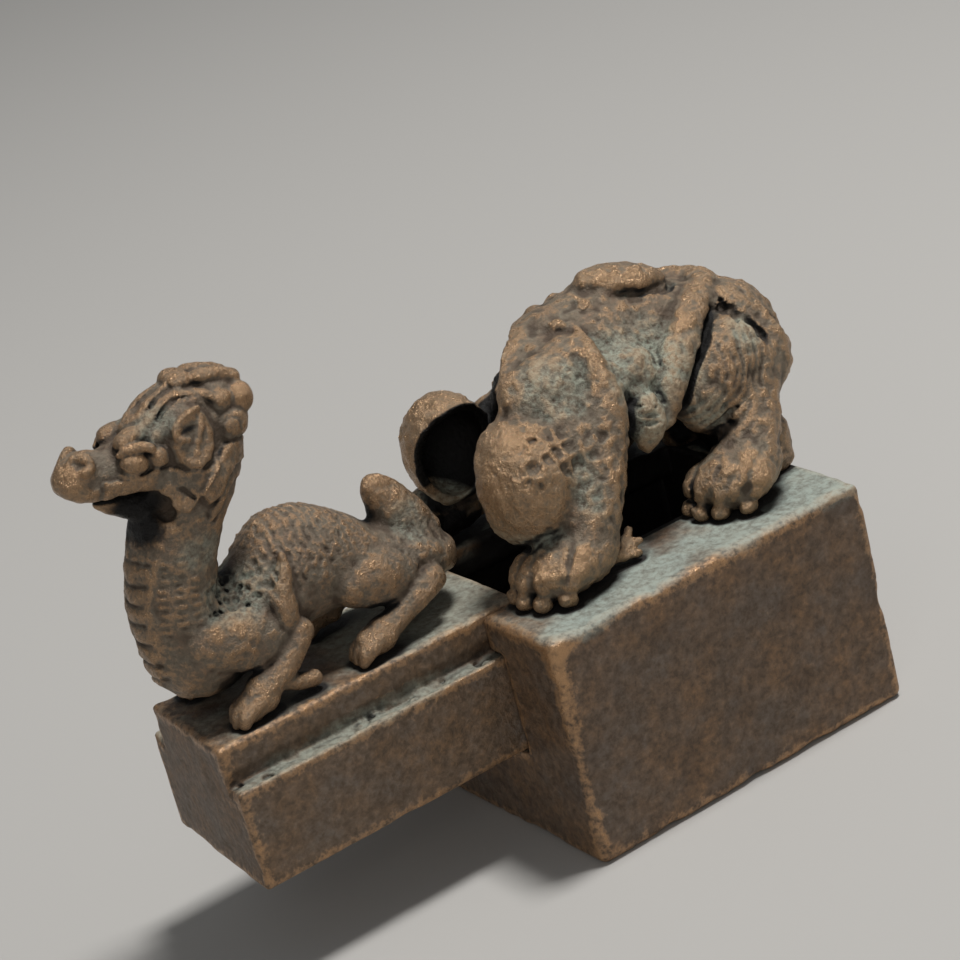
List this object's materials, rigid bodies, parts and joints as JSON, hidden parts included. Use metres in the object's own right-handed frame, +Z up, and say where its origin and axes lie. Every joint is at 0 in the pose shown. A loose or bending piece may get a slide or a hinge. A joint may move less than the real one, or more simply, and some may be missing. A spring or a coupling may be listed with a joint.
{
  "type": "nested bronze seal",
  "caption": "Nested bronze seal: a square outer seal with a hollow beast knob and a front slot, and an inner seal with a dragon-headed beast that slides out of it.",
  "frame": {"origin": "centre of the outer seal's flat seal face", "axes": "+Z up from the seal face to the beasts, -X the way the inner seal is drawn out of the slot, Y across the seal"},
  "size_m": [0.0452, 0.023, 0.0335],
  "materials": {
    "outer_block_bronze": "patinated cast bronze, worn at the edges",
    "outer_beast_bronze": "patinated cast bronze with pale green verdigris in the recesses",
    "inner_block_bronze": "patinated cast bronze, worn at the edges",
    "inner_beast_bronze": "patinated cast bronze, rubbed bright on the high spots"
  },
  "bodies": {
    "outer_seal": {"outer_seal_block": "outer_block_bronze", "outer_beast_knob": "outer_beast_bronze"},
    "inner_seal": {"inner_seal_block": "inner_block_bronze", "inner_beast_knob": "inner_beast_bronze"}
  },
  "joints": [
    {"name": "inner_seal_slide", "type": "slide", "parent": "outer_seal", "child": "inner_seal", "axis": [-1, 0, 0], "range_m": [-0.0178, 0.008]}
  ]
}
